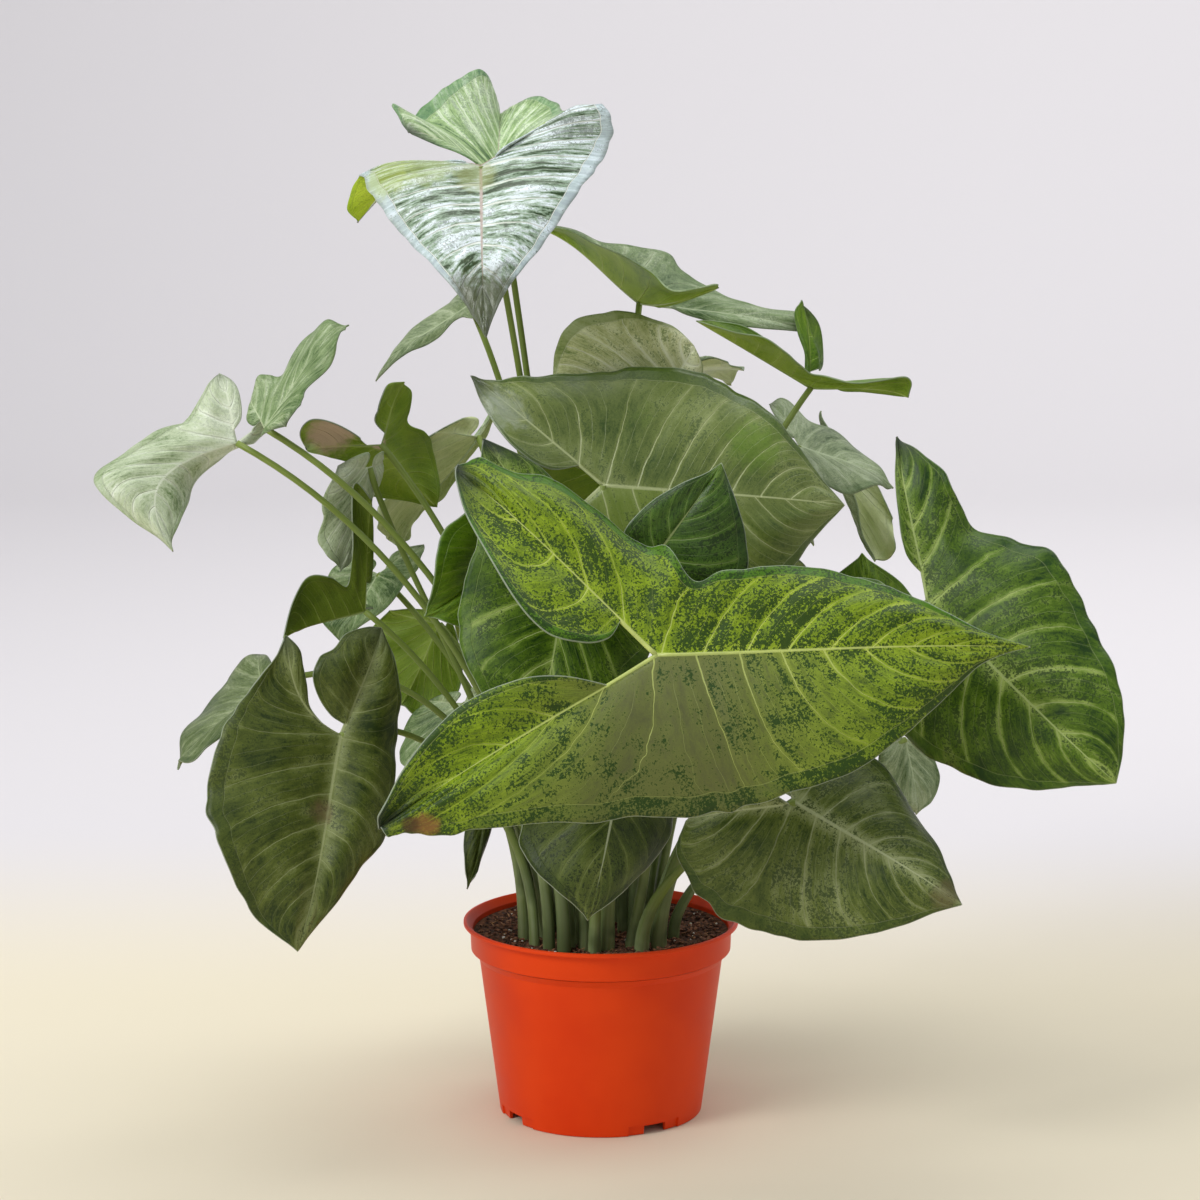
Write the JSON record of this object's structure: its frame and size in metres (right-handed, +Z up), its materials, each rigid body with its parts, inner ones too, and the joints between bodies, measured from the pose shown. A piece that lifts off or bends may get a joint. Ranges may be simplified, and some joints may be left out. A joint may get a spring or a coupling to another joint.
{
  "type": "potted syngonium",
  "caption": "Bushy arrowhead house plant: arrow-shaped, veined leaves on long stalks rising from a tapered plastic nursery pot filled with potting mix.",
  "frame": {"origin": "on the pot's axis, at the surface that the pot stands on", "axes": "+Z up along the pot's axis, -Y towards the plant's front, +X towards its right side seen from the front"},
  "size_m": [0.4582, 0.3367, 0.4897],
  "materials": {
    "pot": "satin orange-red plastic",
    "potting_mix": "rough, dark, moist bark and peat",
    "leaf": "soft sheen, variegated green"
  },
  "bodies": {
    "root": {"pot": "pot", "potting_mix": "potting_mix", "leaf_front_large": "leaf", "leaf_front_upper": "leaf", "leaf_front_dark": "leaf", "leaf_behind_front": "leaf", "leaf_behind_front_left": "leaf", "leaf_right_large": "leaf", "leaf_right_round": "leaf", "leaf_right_small_silver": "leaf", "leaf_right_silver": "leaf", "leaf_right_back": "leaf", "leaf_right_dark": "leaf", "leaf_low_middle": "leaf", "leaf_pale_dome": "leaf", "leaf_top_front": "leaf", "leaf_top_back": "leaf", "leaf_top_hanging": "leaf", "leaf_upper_right_wide": "leaf", "leaf_upper_right_far": "leaf", "leaf_left_underside": "leaf", "leaf_left_pale": "leaf", "leaf_left_silver": "leaf", "leaf_left_dark": "leaf", "leaf_left_pale_low": "leaf", "leaf_left_green_low": "leaf", "leaf_left_inner_low": "leaf", "leaf_low_left_large": "leaf", "leaf_low_left_silver": "leaf", "leaf_far_left_front": "leaf", "leaf_far_left_back": "leaf", "leaf_low_hanging": "leaf", "leaf_back_middle": "leaf", "leaf_back_right": "leaf", "leaf_back_left": "leaf", "leaf_back_low": "leaf", "leaf_back_upper": "leaf", "leaf_back_shoulder": "leaf"}
  },
  "joints": []
}
